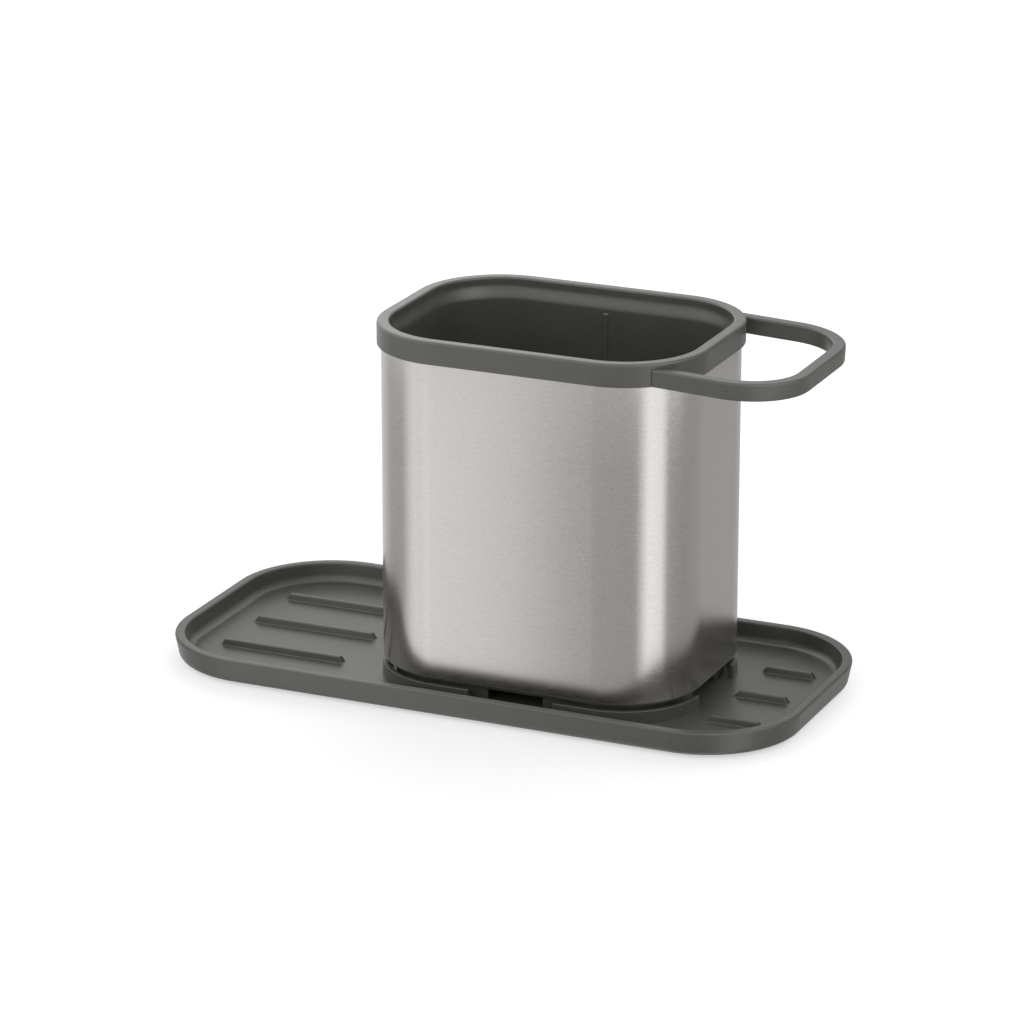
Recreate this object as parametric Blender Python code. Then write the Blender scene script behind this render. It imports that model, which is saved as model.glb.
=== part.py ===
"""Sink caddy: a brushed steel pot for brushes, with a cloth rail, standing on a drip tray.

The drip tray is one moulding on four soft feet. Its floor has draining ribs and four
segments of a low ring, which keep the pot in place. The pot lifts straight off the tray.
It is three pieces: a moulded bucket with its rim band and cloth rail, a steel sleeve
whose top edge hides in the band, and a base ring. The ring is pressed onto the bucket
from below and holds the sleeve's flange up.

Lengths are in metres, +Z is up, and the origin is on the table under the tray's centre.
"""

import math

import bmesh
import bpy
from mathutils import Matrix

# Fit between touching pieces, and how far a cut runs past its wall
CLEARANCE = 0.0003
CUT_OVERRUN = 0.0020
WELD_DISTANCE = 0.0000001

# Drip tray
TRAY_LENGTH = 0.290
TRAY_WIDTH = 0.1404
TRAY_CORNER_RADIUS = 0.0438
TRAY_HEIGHT = 0.0110
TRAY_FLOOR = 0.0026
TRAY_WALL = 0.0045
TRAY_WALL_LEAN = 0.0013
TRAY_HEEL_RADIUS = 0.0034
TRAY_COVE_RADIUS = 0.0036
TRAY_LIP_RADIUS = 0.0011

# Draining ribs on the tray's floor
RIB_COUNT = 3
RIB_PITCH = 0.0320
RIB_HEIGHT = 0.0029
RIB_FOOT_WIDTH = 0.0062
RIB_CREST_WIDTH = 0.0021
RIB_HIP = 0.0017
RIB_EDGE = 0.0006
LONG_RIB_END_MARGIN = 0.0207
LONG_RIB_RING_MARGIN = 0.0159
SHORT_RIB_END_MARGIN = 0.0160
SHORT_RIB_RING_MARGIN = 0.0093

# Locating ring on the tray's floor
RING_HEIGHT = 0.0056
RING_WALL = 0.0022
RING_INSET = 0.0015
RING_GAP = 0.0390
RING_DRAFT = 0.0003
RING_EDGE_RADIUS = 0.0004

# Soft feet under the tray
FOOT_DIAMETER = 0.0130
FOOT_THICKNESS = 0.0020
FOOT_PROUD = 0.0012
FOOT_EDGE = 0.0004
FOOT_END_MARGIN = 0.0330
FOOT_SIDE_MARGIN = 0.0240

# Outer size of the pot at its rim band
POT_LENGTH = 0.1480
POT_WIDTH = 0.1108
POT_CORNER_RADIUS = 0.0375
POT_HEIGHT = 0.1576
POT_CENTRE_X = 0.0233

# Rim band and the mouth of the bucket
BAND_HEIGHT = 0.0100
BAND_PROUD = 0.0018
BAND_WALL = 0.0028
BAND_TOP = 0.0030
BAND_EDGE_RADIUS = 0.0012
BAND_HEM = 0.0003
RIM_WIDTH = 0.0054
RIM_INNER_RADIUS = 0.0010
MOUTH_STEP = 0.0017
MOUTH_STRAIGHT = 0.0030

# Bucket below the band
BUCKET_WALL = 0.0020
BUCKET_DRAFT = 0.0016
BUCKET_FLOOR = 0.0025
BUCKET_FLOOR_FILLET = 0.0060
GUIDE_WIDTH = 0.0024
GUIDE_PROUD = 0.0005
GUIDE_RISE = 0.0012
GUIDE_TOP_SLOPE = 0.0015

# Drain slots in the bucket's floor
SLOT_COUNT = 7
SLOT_WIDTH = 0.0036
SLOT_LENGTH = 0.0340
SLOT_CORNER_RADIUS = 0.0014
SLOT_PITCH = 0.0120

# Steel sleeve
SHEET = 0.0006
SLEEVE_LIFT = 0.0079
SLEEVE_TUCK = 0.0030
SLEEVE_FLANGE = 0.0065
SLEEVE_BEND_RADIUS = 0.0010

# Base ring
SKIRT_INSET = 0.0073
SKIRT_WALL = 0.0022
SKIRT_EDGE_RADIUS = 0.0006
BASE_PLATE = 0.0020
BASE_PLATE_INSET = 0.0050
BASE_CHAMFER = 0.0006
BASE_WINDOW_INSET = 0.0220
NOTCH_WIDTH = 0.0255
NOTCH_HEIGHT = 0.0048

# Spigots of the bucket, in sockets of the base ring
SPIGOT_DIAMETER = 0.0050
SPIGOT_LENGTH = 0.0060
SPIGOT_INSET = 0.0162
SOCKET_WALL = 0.0016

# Cloth rail
RAIL_REACH = 0.0451
RAIL_SIDE_INSET = 0.0081
RAIL_CORNER_RADIUS = 0.0291
RAIL_THICKNESS = 0.0057
RAIL_HEIGHT = 0.0076
RAIL_EDGE_RADIUS = 0.0010
RAIL_DROOP = math.radians(2.5)

# Facets
CORNER_STEPS = 12
FILLET_STEPS = 3
ROUND_STEPS = 24

# Levels that follow from the sizes
TRAY_UNDERSIDE = FOOT_PROUD
TRAY_FLOOR_TOP = TRAY_UNDERSIDE + TRAY_FLOOR
TRAY_TOP = TRAY_UNDERSIDE + TRAY_HEIGHT
POT_BOTTOM = TRAY_FLOOR_TOP + CLEARANCE
RIM_TOP = POT_BOTTOM + POT_HEIGHT
BAND_BOTTOM = RIM_TOP - BAND_HEIGHT
SLEEVE_BOTTOM = POT_BOTTOM + SLEEVE_LIFT
SLEEVE_TOP = BAND_BOTTOM + SLEEVE_TUCK
BASE_PLATE_TOP = SLEEVE_BOTTOM - CLEARANCE
BASE_PLATE_BOTTOM = BASE_PLATE_TOP - BASE_PLATE
BUCKET_UNDERSIDE = BASE_PLATE_TOP + CLEARANCE
BUCKET_FLOOR_TOP = BUCKET_UNDERSIDE + BUCKET_FLOOR

# Outlines as length, width and corner radius
TRAY_OUTLINE = (TRAY_LENGTH, TRAY_WIDTH, TRAY_CORNER_RADIUS)
POT_OUTLINE = (POT_LENGTH, POT_WIDTH, POT_CORNER_RADIUS)

# Insets from the pot's outline
SKIRT_OF_BAND = BAND_PROUD - CLEARANCE
SLEEVE_INSIDE = BAND_PROUD + SHEET
MOUTH_INSET = RIM_WIDTH + MOUTH_STEP

GREY_PLASTIC = ("grey_plastic", (0.090, 0.091, 0.086), 0.36, 0.0)
STEEL = ("brushed_steel", (0.60, 0.585, 0.57), 0.30, 1.0)
SOFT_RUBBER = ("soft_rubber", (0.035, 0.035, 0.034), 0.75, 0.0)


def clear_scene():
    for item in list(bpy.data.objects):
        bpy.data.objects.remove(item, do_unlink=True)


def new_collection(name):
    collection = bpy.data.collections.new(name)
    bpy.context.scene.collection.children.link(collection)
    return collection


def material(look):
    """One Principled material, made once for each look."""
    name, colour, roughness, metallic = look
    found = bpy.data.materials.get(name)
    if found:
        return found
    made = bpy.data.materials.new(name)
    made.use_nodes = True
    shader = made.node_tree.nodes["Principled BSDF"]
    shader.inputs["Base Color"].default_value = (*colour, 1.0)
    shader.inputs["Roughness"].default_value = roughness
    shader.inputs["Metallic"].default_value = metallic
    return made


def add_object(name, mesh, collection):
    """The bmesh as a new object, shaded smooth between its sharp edges."""
    data = bpy.data.meshes.new(name)
    bmesh.ops.recalc_face_normals(mesh, faces=mesh.faces)
    mesh.to_mesh(data)
    mesh.free()
    data.shade_smooth()
    data.set_sharp_from_angle(angle=math.radians(35))
    made = bpy.data.objects.new(name, data)
    collection.objects.link(made)
    return made


def make_cross(name, width, bottom, top, helpers):
    """Two bars across the pot that open a ring in the middle of each side."""
    half = width / 2
    bars = []
    for axis, reach in (("x", POT_LENGTH / 2), ("y", POT_WIDTH / 2)):
        past = reach + CUT_OVERRUN
        half_x, half_y = (past, half) if axis == "x" else (half, past)
        mesh = bmesh.new()
        low = (POT_CENTRE_X - half_x, -half_y, bottom)
        add_box(mesh, low, (POT_CENTRE_X + half_x, half_y, top))
        bars.append(as_helper(add_object(f"{name}_along_{axis}", mesh, helpers)))
    return bars


def as_helper(made):
    """Marks an object that only cuts or joins another."""
    made.hide_render = True
    made.display_type = "WIRE"
    return made


def combine(target, helper, operation):
    modifier = target.modifiers.new(helper.name, "BOOLEAN")
    modifier.operation = operation
    modifier.object = helper
    modifier.solver = "EXACT"


def arc(centre_inset, centre_height, radius, start, end, steps=FILLET_STEPS):
    """Profile points on an arc, angles in quarter turns from the inward direction."""
    points = []
    for step in range(steps + 1):
        angle = (start + (end - start) * step / steps) * math.pi / 2
        inset = centre_inset + radius * math.cos(angle)
        points.append((inset, centre_height + radius * math.sin(angle)))
    return points


def outline_points(outline, inset, steps=CORNER_STEPS):
    """Points of a rounded rectangle moved inwards by inset, counter-clockwise."""
    length, width, radius = outline
    corner = max(radius - inset, CLEARANCE)
    reach_x = length / 2 - inset - corner
    reach_y = width / 2 - inset - corner
    points = []
    for quarter, (side_x, side_y) in enumerate(((1, 1), (-1, 1), (-1, -1), (1, -1))):
        for step in range(steps + 1):
            angle = (quarter + step / steps) * math.pi / 2
            x = side_x * reach_x + corner * math.cos(angle)
            y = side_y * reach_y + corner * math.sin(angle)
            points.append((x, y))
    return points


def add_loop(mesh, points, height, centre_x):
    """A closed loop of edges at one height."""
    corners = [mesh.verts.new((x + centre_x, y, height)) for x, y in points]
    return [mesh.edges.new(pair) for pair in zip(corners, corners[1:] + corners[:1])]


def sweep(outline, profile, centre_x=0.0, capped=False, steps=CORNER_STEPS):
    """A profile of (inset, height) points carried round an outline.

    A capped sweep closes its first and last loops with a flat face, as a dish has.
    Without caps the profile is itself a closed section, as of a ring. The loops are
    stacked far apart while they are bridged, because level ones could pair up wrongly.
    """
    mesh = bmesh.new()
    loops = []
    apart, _, _ = outline
    for level, (inset, _) in enumerate(profile):
        points = outline_points(outline, inset, steps)
        loops.append(add_loop(mesh, points, level * apart, centre_x))
    following = loops[1:] if capped else loops[1:] + loops[:1]
    for lower, upper in zip(loops, following):
        bmesh.ops.bridge_loops(mesh, edges=lower + upper)
    for loop, (_, height) in zip(loops, profile):
        for edge in loop:
            for corner in edge.verts:
                corner.co.z = height
    if capped:
        bmesh.ops.edgeloop_fill(mesh, edges=loops[0])
        bmesh.ops.edgeloop_fill(mesh, edges=loops[-1])
    return mesh


def prism(outline, inset, bottom, top, centre_x=0.0, steps=CORNER_STEPS):
    """A straight solid between two heights, on a rounded rectangle."""
    profile = [(inset, bottom), (inset, top)]
    return sweep(outline, profile, centre_x, capped=True, steps=steps)


def add_box(mesh, low, high):
    """A box between two corners, from the cube primitive."""
    made = bmesh.ops.create_cube(mesh, size=1.0)["verts"]
    middle = [(a + b) / 2 for a, b in zip(low, high)]
    size = [b - a for a, b in zip(low, high)]
    placed = Matrix.LocRotScale(middle, None, size)
    bmesh.ops.transform(mesh, matrix=placed, verts=made)
    return made


def is_level(edge):
    """Whether both ends of an edge lie at one height."""
    start, end = edge.verts
    return abs(start.co.z - end.co.z) < WELD_DISTANCE


def add_cylinder(mesh, radius, x, y, bottom, top):
    made = bmesh.ops.create_cone(
        mesh,
        cap_ends=True,
        segments=ROUND_STEPS,
        radius1=radius,
        radius2=radius,
        depth=top - bottom,
        matrix=Matrix.Translation((x, y, (bottom + top) / 2)),
    )
    return made["verts"]


# Drip tray


def tray_profile():
    """Section of the tray's wall, from the underside round the lip to the floor."""
    lean = TRAY_WALL_LEAN
    inner = TRAY_WALL + lean / 2
    heel = TRAY_HEEL_RADIUS
    cove = TRAY_COVE_RADIUS
    lip = TRAY_LIP_RADIUS
    points = arc(lean + heel, TRAY_UNDERSIDE + heel, heel, -1, -2)
    points += arc(lip, TRAY_TOP - lip, lip, 2, 1)
    points += arc(TRAY_WALL - lip, TRAY_TOP - lip, lip, 1, 0)
    points += arc(inner + cove, TRAY_FLOOR_TOP + cove, cove, -2, -1, FILLET_STEPS + 1)
    return points


def rib_spans():
    """Start and end of the long and the short ribs along X, at their feet."""
    ring_reach = POT_LENGTH / 2 - RING_INSET
    left = -TRAY_LENGTH / 2 + LONG_RIB_END_MARGIN
    left_end = POT_CENTRE_X - ring_reach - LONG_RIB_RING_MARGIN
    right = POT_CENTRE_X + ring_reach + SHORT_RIB_RING_MARGIN
    right_end = TRAY_LENGTH / 2 - SHORT_RIB_END_MARGIN
    return ((left, left_end), (right, right_end))


def add_rib(mesh, start, end, y):
    """A ridge with sloping sides and hipped ends, rooted in the floor."""
    half = RIB_FOOT_WIDTH / 2
    crest = TRAY_FLOOR_TOP + RIB_HEIGHT
    root = TRAY_FLOOR_TOP - TRAY_FLOOR / 2
    corners = add_box(mesh, (start, y - half, root), (end, y + half, crest))
    slope = (RIB_FOOT_WIDTH - RIB_CREST_WIDTH) / RIB_HEIGHT / 2
    hip = RIB_HIP / RIB_HEIGHT
    middle = (start + end) / 2
    for corner in corners:
        rise = corner.co.z - TRAY_FLOOR_TOP
        corner.co.x -= math.copysign(hip * rise, corner.co.x - middle)
        corner.co.y -= math.copysign(slope * rise, corner.co.y - y)
    crown = [v for v in corners if v.co.z > TRAY_FLOOR_TOP]
    edges = {e for v in crown for e in v.link_edges if e.other_vert(v) in crown}
    bmesh.ops.bevel(mesh, geom=list(edges), offset=RIB_EDGE, segments=2, affect="EDGES")


def make_ribs(collection):
    mesh = bmesh.new()
    for start, end in rib_spans():
        for index in range(RIB_COUNT):
            add_rib(mesh, start, end, (index - (RIB_COUNT - 1) / 2) * RIB_PITCH)
    return as_helper(add_object("tray_ribs", mesh, collection))


def ring_profile():
    """Section of the low ring, rooted in the floor, with a rounded top."""
    outer = RING_INSET
    inner = RING_INSET + RING_WALL
    top = TRAY_FLOOR_TOP + RING_HEIGHT
    root = TRAY_FLOOR_TOP - TRAY_FLOOR / 2
    edge = RING_EDGE_RADIUS
    points = [(outer - RING_DRAFT, root)]
    points += arc(outer + edge, top - edge, edge, 2, 1, 2)
    points += arc(inner - edge, top - edge, edge, 1, 0, 2)
    points.append((inner + RING_DRAFT, root))
    return points


def make_locating_ring(helpers):
    """The ring in four corner segments, left open in the middle of each side."""
    made = add_object(
        "tray_ring", sweep(POT_OUTLINE, ring_profile(), POT_CENTRE_X), helpers
    )
    top = TRAY_FLOOR_TOP + RING_HEIGHT + CUT_OVERRUN
    for cutter in make_cross("ring_gaps", RING_GAP, TRAY_UNDERSIDE, top, helpers):
        combine(made, cutter, "DIFFERENCE")
    return as_helper(made)


def foot_places():
    """Name and centre of each foot."""
    x = TRAY_LENGTH / 2 - FOOT_END_MARGIN
    y = TRAY_WIDTH / 2 - FOOT_SIDE_MARGIN
    return (
        ("foot_front_left", -x, -y),
        ("foot_front_right", x, -y),
        ("foot_rear_left", -x, y),
        ("foot_rear_right", x, y),
    )


def make_foot_recesses(helpers):
    """Round pockets in the tray's underside that the feet are pressed into."""
    mesh = bmesh.new()
    depth = FOOT_THICKNESS - FOOT_PROUD + CLEARANCE
    for _, x, y in foot_places():
        radius = FOOT_DIAMETER / 2 + CLEARANCE
        bottom = TRAY_UNDERSIDE - CUT_OVERRUN
        add_cylinder(mesh, radius, x, y, bottom, TRAY_UNDERSIDE + depth)
    return as_helper(add_object("foot_recesses", mesh, helpers))


def make_tray(parts, helpers):
    tray = add_object(
        "drip_tray", sweep(TRAY_OUTLINE, tray_profile(), capped=True), parts
    )
    tray.data.materials.append(material(GREY_PLASTIC))
    combine(tray, make_ribs(helpers), "UNION")
    combine(tray, make_locating_ring(helpers), "UNION")
    combine(tray, make_foot_recesses(helpers), "DIFFERENCE")


def make_feet(parts):
    for name, x, y in foot_places():
        mesh = bmesh.new()
        add_cylinder(mesh, FOOT_DIAMETER / 2, 0, 0, 0, FOOT_THICKNESS)
        rims = [edge for edge in mesh.edges if is_level(edge)]
        bmesh.ops.bevel(mesh, geom=rims, offset=FOOT_EDGE, segments=1, affect="EDGES")
        foot = add_object(name, mesh, parts)
        foot.location = (x, y, 0)
        foot.data.materials.append(material(SOFT_RUBBER))


# Bucket with its rim band and cloth rail


def bucket_inset(height):
    """Inset of the bucket's inner wall, which tapers down to its floor."""
    top = RIM_TOP - BAND_HEIGHT
    share = (top - height) / (top - BUCKET_FLOOR_TOP)
    return MOUTH_INSET + BUCKET_DRAFT * share


def bucket_outside():
    """Section of the bucket's outside, from its underside up to the band's lower edge."""
    fillet = BUCKET_FLOOR_FILLET
    heel = bucket_inset(BUCKET_UNDERSIDE + fillet) - BUCKET_WALL
    skirt = SKIRT_OF_BAND
    shelf = SLEEVE_TOP
    points = arc(heel + fillet, BUCKET_UNDERSIDE + fillet, fillet, -1, -2)
    points.append((MOUTH_INSET - BUCKET_WALL, BAND_BOTTOM))
    points.append((RIM_WIDTH - BUCKET_WALL + MOUTH_STEP / 4, RIM_TOP - BAND_TOP))
    points.append((BAND_WALL, RIM_TOP - BAND_TOP))
    points += [(BAND_WALL, shelf), (skirt, shelf)]
    points += [(skirt, BAND_BOTTOM), (BAND_HEM, BAND_BOTTOM)]
    points.append((0, BAND_BOTTOM + BAND_HEM))
    return points


def mouth_inside():
    """Section from the rim's outer edge over its top, and down the mouth to the floor."""
    outer = BAND_EDGE_RADIUS
    inner = RIM_INNER_RADIUS
    step = MOUTH_STEP
    rounded = RIM_WIDTH - inner
    points = arc(outer, RIM_TOP - outer, outer, 2, 1)
    points += arc(rounded, RIM_TOP - inner, inner, 1, 0)
    start = RIM_TOP - MOUTH_STRAIGHT
    fall = BAND_HEIGHT - MOUTH_STRAIGHT
    for index in range(FILLET_STEPS + 2):
        share = index / (FILLET_STEPS + 1)
        ease = share * share * (3 - 2 * share)
        points.append((RIM_WIDTH + step * ease, start - fall * share))
    fillet = BUCKET_FLOOR_FILLET
    centre = BUCKET_FLOOR_TOP + fillet
    points += arc(bucket_inset(centre) + fillet, centre, fillet, -2, -1)
    return points


def make_guides(helpers):
    """A slim upright rib in the middle of the front and the rear inner wall."""
    mesh = bmesh.new()
    root = BUCKET_WALL / 2
    top = BAND_BOTTOM + GUIDE_RISE
    bottom = BUCKET_FLOOR_TOP - BUCKET_FLOOR / 2
    for side in (-1, 1):
        half = GUIDE_WIDTH / 2
        low = (POT_CENTRE_X - half, 0, bottom)
        high = (POT_CENTRE_X + half, side * POT_WIDTH, top)
        for corner in add_box(mesh, low, high):
            wall = POT_WIDTH / 2 - bucket_inset(corner.co.z)
            inward = abs(corner.co.y) < POT_WIDTH / 2
            corner.co.y = side * (wall - GUIDE_PROUD if inward else wall + root)
            if inward and corner.co.z > bottom:
                corner.co.z -= GUIDE_TOP_SLOPE
    return as_helper(add_object("bucket_guides", mesh, helpers))


def make_drain_slots(helpers):
    """Round-ended slots in a row across the bucket's floor."""
    mesh = bmesh.new()
    outline = (SLOT_WIDTH, SLOT_LENGTH, SLOT_CORNER_RADIUS)
    bottom = BUCKET_UNDERSIDE - CUT_OVERRUN
    top = BUCKET_FLOOR_TOP + CUT_OVERRUN
    for index in range(SLOT_COUNT):
        x = POT_CENTRE_X + (index - (SLOT_COUNT - 1) / 2) * SLOT_PITCH
        slot = prism(outline, 0, bottom, top, x, steps=FILLET_STEPS)
        piece = bpy.data.meshes.new("slot")
        slot.to_mesh(piece)
        slot.free()
        mesh.from_mesh(piece)
        bpy.data.meshes.remove(piece)
    return as_helper(add_object("drain_slots", mesh, helpers))


def spigot_places():
    """Centres of the four spigots, on the diagonals of the pot's corners."""
    reach = (POT_CORNER_RADIUS - SPIGOT_INSET) * math.cos(math.pi / 4)
    x = POT_LENGTH / 2 - POT_CORNER_RADIUS + reach
    y = POT_WIDTH / 2 - POT_CORNER_RADIUS + reach
    return [(POT_CENTRE_X + i * x, j * y) for i in (-1, 1) for j in (-1, 1)]


def make_spigots(helpers):
    mesh = bmesh.new()
    root = BUCKET_UNDERSIDE + BUCKET_FLOOR / 2
    for x, y in spigot_places():
        bottom = BUCKET_UNDERSIDE - SPIGOT_LENGTH
        add_cylinder(mesh, SPIGOT_DIAMETER / 2, x, y, bottom, root)
    return as_helper(add_object("bucket_spigots", mesh, helpers))


def rail_path():
    """Centre line of the rail's bar, a U open towards the pot, from front to rear."""
    half = RAIL_THICKNESS / 2
    side = POT_WIDTH / 2 - RAIL_SIDE_INSET - half
    end = POT_LENGTH / 2 + RAIL_REACH - half
    radius = RAIL_CORNER_RADIUS - half
    root = POT_LENGTH / 2 - POT_CORNER_RADIUS
    points = [(root, -side)]
    for quarter, turn in ((-1, -1), (0, 1)):
        for step in range(CORNER_STEPS + 1):
            angle = (quarter + step / CORNER_STEPS) * math.pi / 2
            x = end - radius + radius * math.cos(angle)
            points.append((x, turn * (side - radius) + radius * math.sin(angle)))
    points.append((root, side))
    return points


def poly_curve(name, points, cyclic, collection):
    data = bpy.data.curves.new(name, "CURVE")
    data.dimensions = "2D"
    spline = data.splines.new("POLY")
    spline.points.add(len(points) - 1)
    for slot, (x, y) in zip(spline.points, points):
        slot.co = (x, y, 0, 1)
    spline.use_cyclic_u = cyclic
    made = bpy.data.objects.new(name, data)
    collection.objects.link(made)
    return made


def rail_section(helpers):
    """Upright rounded rectangle that the rail's bar is swept from."""
    radius = RAIL_EDGE_RADIUS
    reach_x = RAIL_THICKNESS / 2 - radius
    reach_y = RAIL_HEIGHT / 2 - radius
    points = []
    for quarter, (side_x, side_y) in enumerate(((1, 1), (-1, 1), (-1, -1), (1, -1))):
        for step in range(FILLET_STEPS + 1):
            angle = (quarter + step / FILLET_STEPS) * math.pi / 2
            x = side_x * reach_x + radius * math.cos(angle)
            points.append((x, side_y * reach_y + radius * math.sin(angle)))
    return as_helper(poly_curve("rail_section", points, True, helpers))


def curve_to_mesh(made, collection):
    """The curve's evaluated shape as a mesh object with welded caps."""
    bpy.context.view_layer.update()
    graph = bpy.context.evaluated_depsgraph_get()
    data = bpy.data.meshes.new_from_object(made.evaluated_get(graph))
    mesh = bmesh.new()
    mesh.from_mesh(data)
    bpy.data.meshes.remove(data)
    bmesh.ops.remove_doubles(mesh, verts=mesh.verts, dist=WELD_DISTANCE)
    bmesh.ops.transform(mesh, matrix=made.matrix_world, verts=mesh.verts)
    name = made.name
    bpy.data.objects.remove(made, do_unlink=True)
    return add_object(name, mesh, collection)


def make_rail(helpers):
    """The cloth rail, sloping down from the band's lower edge and cut to its curve."""
    curve = poly_curve("rail_bar", rail_path(), False, helpers)
    section = rail_section(helpers)
    curve.data.bevel_mode = "OBJECT"
    curve.data.bevel_object = section
    curve.data.use_fill_caps = True
    root_x = POT_LENGTH / 2 - POT_CORNER_RADIUS / 3
    height = BAND_BOTTOM + RAIL_HEIGHT / 2
    hinge = Matrix.Translation((POT_CENTRE_X + root_x, 0, height))
    droop = Matrix.Rotation(RAIL_DROOP, 4, "Y")
    curve.matrix_world = hinge @ droop @ Matrix.Translation((-root_x, 0, 0))
    rail = curve_to_mesh(curve, helpers)
    bpy.data.objects.remove(section, do_unlink=True)
    pot = prism(
        POT_OUTLINE, SKIRT_OF_BAND / 2, BAND_BOTTOM - BAND_HEIGHT, RIM_TOP, POT_CENTRE_X
    )
    inside = as_helper(add_object("rail_cut", pot, helpers))
    combine(rail, inside, "DIFFERENCE")
    return as_helper(rail)


def make_bucket(parts, helpers):
    profile = bucket_outside() + mouth_inside()
    mesh = sweep(POT_OUTLINE, profile, POT_CENTRE_X, capped=True)
    bucket = add_object("bucket_with_rail", mesh, parts)
    bucket.data.materials.append(material(GREY_PLASTIC))
    combine(bucket, make_guides(helpers), "UNION")
    combine(bucket, make_spigots(helpers), "UNION")
    combine(bucket, make_rail(helpers), "UNION")
    combine(bucket, make_drain_slots(helpers), "DIFFERENCE")
    return bucket


# Steel sleeve


def make_sleeve(parts):
    """Sheet wrapped round the pot, its lower edge bent in to a flange."""
    outside = BAND_PROUD
    bend = SLEEVE_BEND_RADIUS
    inner_bend = bend - SHEET
    flange = outside + SLEEVE_FLANGE
    top = SLEEVE_TOP - CLEARANCE
    centre = SLEEVE_BOTTOM + bend
    profile = [(outside, top)]
    profile += arc(outside + bend, centre, bend, 2, 3)
    profile += [(flange, SLEEVE_BOTTOM), (flange, SLEEVE_BOTTOM + SHEET)]
    profile += arc(outside + bend, centre, inner_bend, 3, 2)
    profile.append((SLEEVE_INSIDE, top))
    sleeve = add_object(
        "steel_sleeve", sweep(POT_OUTLINE, profile, POT_CENTRE_X), parts
    )
    sleeve.data.materials.append(material(STEEL))
    return sleeve


# Base ring


def base_profile():
    """Section of the base ring: a plate under the sleeve's flange, on a low skirt."""
    rim = BASE_PLATE_INSET
    chamfer = BASE_CHAMFER
    edge = SKIRT_EDGE_RADIUS
    inner = SKIRT_INSET + SKIRT_WALL
    window = BASE_WINDOW_INSET
    points = [(rim, BASE_PLATE_TOP), (rim, BASE_PLATE_BOTTOM + chamfer)]
    points += [(rim + chamfer, BASE_PLATE_BOTTOM), (SKIRT_INSET, BASE_PLATE_BOTTOM)]
    points += arc(SKIRT_INSET + edge, POT_BOTTOM + edge, edge, 2, 3, 2)
    points += arc(inner - edge, POT_BOTTOM + edge, edge, -1, 0, 2)
    points += [(inner, BASE_PLATE_BOTTOM), (window, BASE_PLATE_BOTTOM)]
    points.append((window, BASE_PLATE_TOP))
    return points


def make_notches(helpers):
    """Drain openings in the skirt, one in the middle of each side."""
    bottom = POT_BOTTOM - CUT_OVERRUN
    top = POT_BOTTOM + NOTCH_HEIGHT
    return make_cross("skirt_notches", NOTCH_WIDTH, bottom, top, helpers)


def make_sockets(helpers):
    """Bosses under the plate, and the bores in them for the bucket's spigots."""
    bosses = bmesh.new()
    bores = bmesh.new()
    bore = SPIGOT_DIAMETER / 2 + CLEARANCE
    bottom = BUCKET_UNDERSIDE - SPIGOT_LENGTH
    root = BASE_PLATE_BOTTOM + BASE_PLATE / 2
    for x, y in spigot_places():
        add_cylinder(bosses, bore + SOCKET_WALL, x, y, bottom, root)
        top = BASE_PLATE_TOP + CUT_OVERRUN
        add_cylinder(bores, bore, x, y, bottom - CUT_OVERRUN, top)
    return (
        as_helper(add_object("base_sockets", bosses, helpers)),
        as_helper(add_object("socket_bores", bores, helpers)),
    )


def make_base(parts, helpers):
    mesh = sweep(POT_OUTLINE, base_profile(), POT_CENTRE_X)
    base = add_object("base_ring", mesh, parts)
    base.data.materials.append(material(GREY_PLASTIC))
    bosses, bores = make_sockets(helpers)
    combine(base, bosses, "UNION")
    combine(base, bores, "DIFFERENCE")
    for notch in make_notches(helpers):
        combine(base, notch, "DIFFERENCE")
    return base


def carry_on_lift(pieces, collection):
    """Parents the pot's pieces to an empty on the line along which the pot lifts."""
    lift = bpy.data.objects.new("pot_lift", None)
    lift.location = (POT_CENTRE_X, 0, POT_BOTTOM)
    collection.objects.link(lift)
    bpy.context.view_layer.update()
    for piece in pieces:
        piece.parent = lift
        piece.matrix_parent_inverse = lift.matrix_world.inverted()


def main():
    clear_scene()
    parts = new_collection("sink_caddy")
    helpers = new_collection("cutters")
    make_tray(parts, helpers)
    make_feet(parts)
    bucket = make_bucket(parts, helpers)
    sleeve = make_sleeve(parts)
    base = make_base(parts, helpers)
    carry_on_lift((bucket, sleeve, base), parts)


main()
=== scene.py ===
"""Looks of the sink caddy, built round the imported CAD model: fine mouldings, brushed steel,
a pale floor, soft studio light and the photograph's camera.

Each piece stands in for its node of the model, with the sizes of the part's source and finer
roundings. Where this script has a form of its own, the heading over its sizes says so.
Lengths are in metres, +Z is up, and the origin is on the table under the tray's centre.
"""

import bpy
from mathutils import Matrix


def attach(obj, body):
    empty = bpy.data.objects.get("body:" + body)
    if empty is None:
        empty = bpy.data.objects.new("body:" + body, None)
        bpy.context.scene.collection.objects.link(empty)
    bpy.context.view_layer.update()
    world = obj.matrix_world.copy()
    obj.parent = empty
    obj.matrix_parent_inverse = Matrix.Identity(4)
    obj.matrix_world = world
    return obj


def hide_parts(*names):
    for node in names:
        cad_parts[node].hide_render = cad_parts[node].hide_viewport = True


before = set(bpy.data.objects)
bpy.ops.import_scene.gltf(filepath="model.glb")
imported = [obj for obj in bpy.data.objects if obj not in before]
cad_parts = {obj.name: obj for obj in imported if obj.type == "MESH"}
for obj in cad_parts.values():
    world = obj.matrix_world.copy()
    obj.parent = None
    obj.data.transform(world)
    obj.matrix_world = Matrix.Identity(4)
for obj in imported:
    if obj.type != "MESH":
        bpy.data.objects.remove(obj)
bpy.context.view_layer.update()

import math

import bmesh
import bpy
from mathutils import Matrix, Vector

# Fit between touching pieces, how far a cut runs past its wall, and how near points are joined
CLEARANCE = 0.0003
OVERRUN = 0.0020
WELD = 0.000001

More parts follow.
